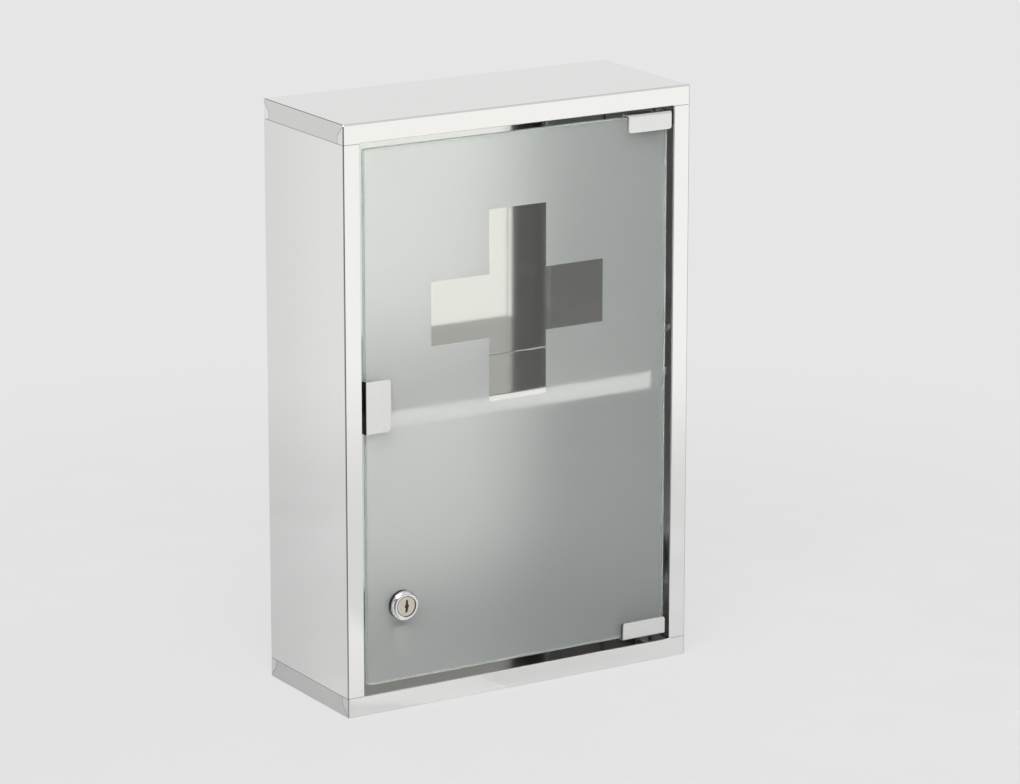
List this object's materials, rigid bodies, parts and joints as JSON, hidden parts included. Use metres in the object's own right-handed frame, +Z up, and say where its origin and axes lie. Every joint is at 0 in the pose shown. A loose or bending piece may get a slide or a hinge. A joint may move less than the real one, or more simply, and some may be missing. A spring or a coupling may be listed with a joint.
{
  "type": "lockable medicine cabinet",
  "caption": "Wall-hung lockable medicine cabinet of folded stainless sheet with a pivoted frosted glass door, a cam lock and one fixed shelf.",
  "frame": {"origin": "centre of the base, midway between the face frame's front plane and the wall plane, at the underside", "axes": "+X to the right as seen from the front, +Y from the door towards the wall, +Z up"},
  "size_m": [0.3, 0.1235, 0.45],
  "materials": {
    "case_steel": "satin stainless sheet",
    "inner_steel": "bright stainless sheet",
    "frosted_glass": "clear face, satin-etched rear face",
    "clip_steel": "fine brushed stainless",
    "liner_rubber": "matt",
    "bush_nylon": "matt",
    "catch_plastic": "matt",
    "ferrite": "dull",
    "screw_steel": "plated",
    "lock_chrome": "polished",
    "plug_nickel": "satin nickel"
  },
  "bodies": {
    "cabinet": {"left_side_panel": "case_steel", "right_side_panel": "case_steel", "back_panel": "inner_steel", "top_cap": "case_steel", "bottom_cap": "case_steel", "shelf": "inner_steel", "left_shelf_cleat": "inner_steel", "right_shelf_cleat": "inner_steel", "top_pivot_bracket": "inner_steel", "bottom_pivot_bracket": "inner_steel", "top_pivot_bush": "bush_nylon", "bottom_pivot_bush": "bush_nylon", "catch_housing": "catch_plastic", "catch_magnet": "ferrite", "catch_pole_plates": "screw_steel", "catch_screws": "screw_steel"},
    "door": {"glass_door": "frosted_glass", "top_hinge_clip": "clip_steel", "bottom_hinge_clip": "clip_steel", "top_clip_liner": "liner_rubber", "bottom_clip_liner": "liner_rubber", "hinge_grub_screws": "screw_steel", "top_pivot_pin": "screw_steel", "bottom_pivot_pin": "screw_steel", "strike_clip": "clip_steel", "strike_liner": "liner_rubber", "strike_grub_screws": "screw_steel", "lock_barrel": "lock_chrome", "lock_gasket": "liner_rubber", "lock_washer": "screw_steel", "lock_nut": "screw_steel"},
    "lock_rotor": {"lock_plug": "plug_nickel", "lock_cam": "screw_steel", "cam_washer": "screw_steel", "cam_screw": "screw_steel"}
  },
  "joints": [
    {"name": "door_hinge", "type": "hinge", "parent": "cabinet", "child": "door", "pos_m": [0.1245, -0.0548, 0.225], "axis": [0, 0, 1], "range_deg": [0, 110]},
    {"name": "lock_turn", "type": "hinge", "parent": "door", "child": "lock_rotor", "pos_m": [-0.1013, -0.0595, 0.0806], "axis": [0, 1, 0], "range_deg": [0, 90]}
  ]
}
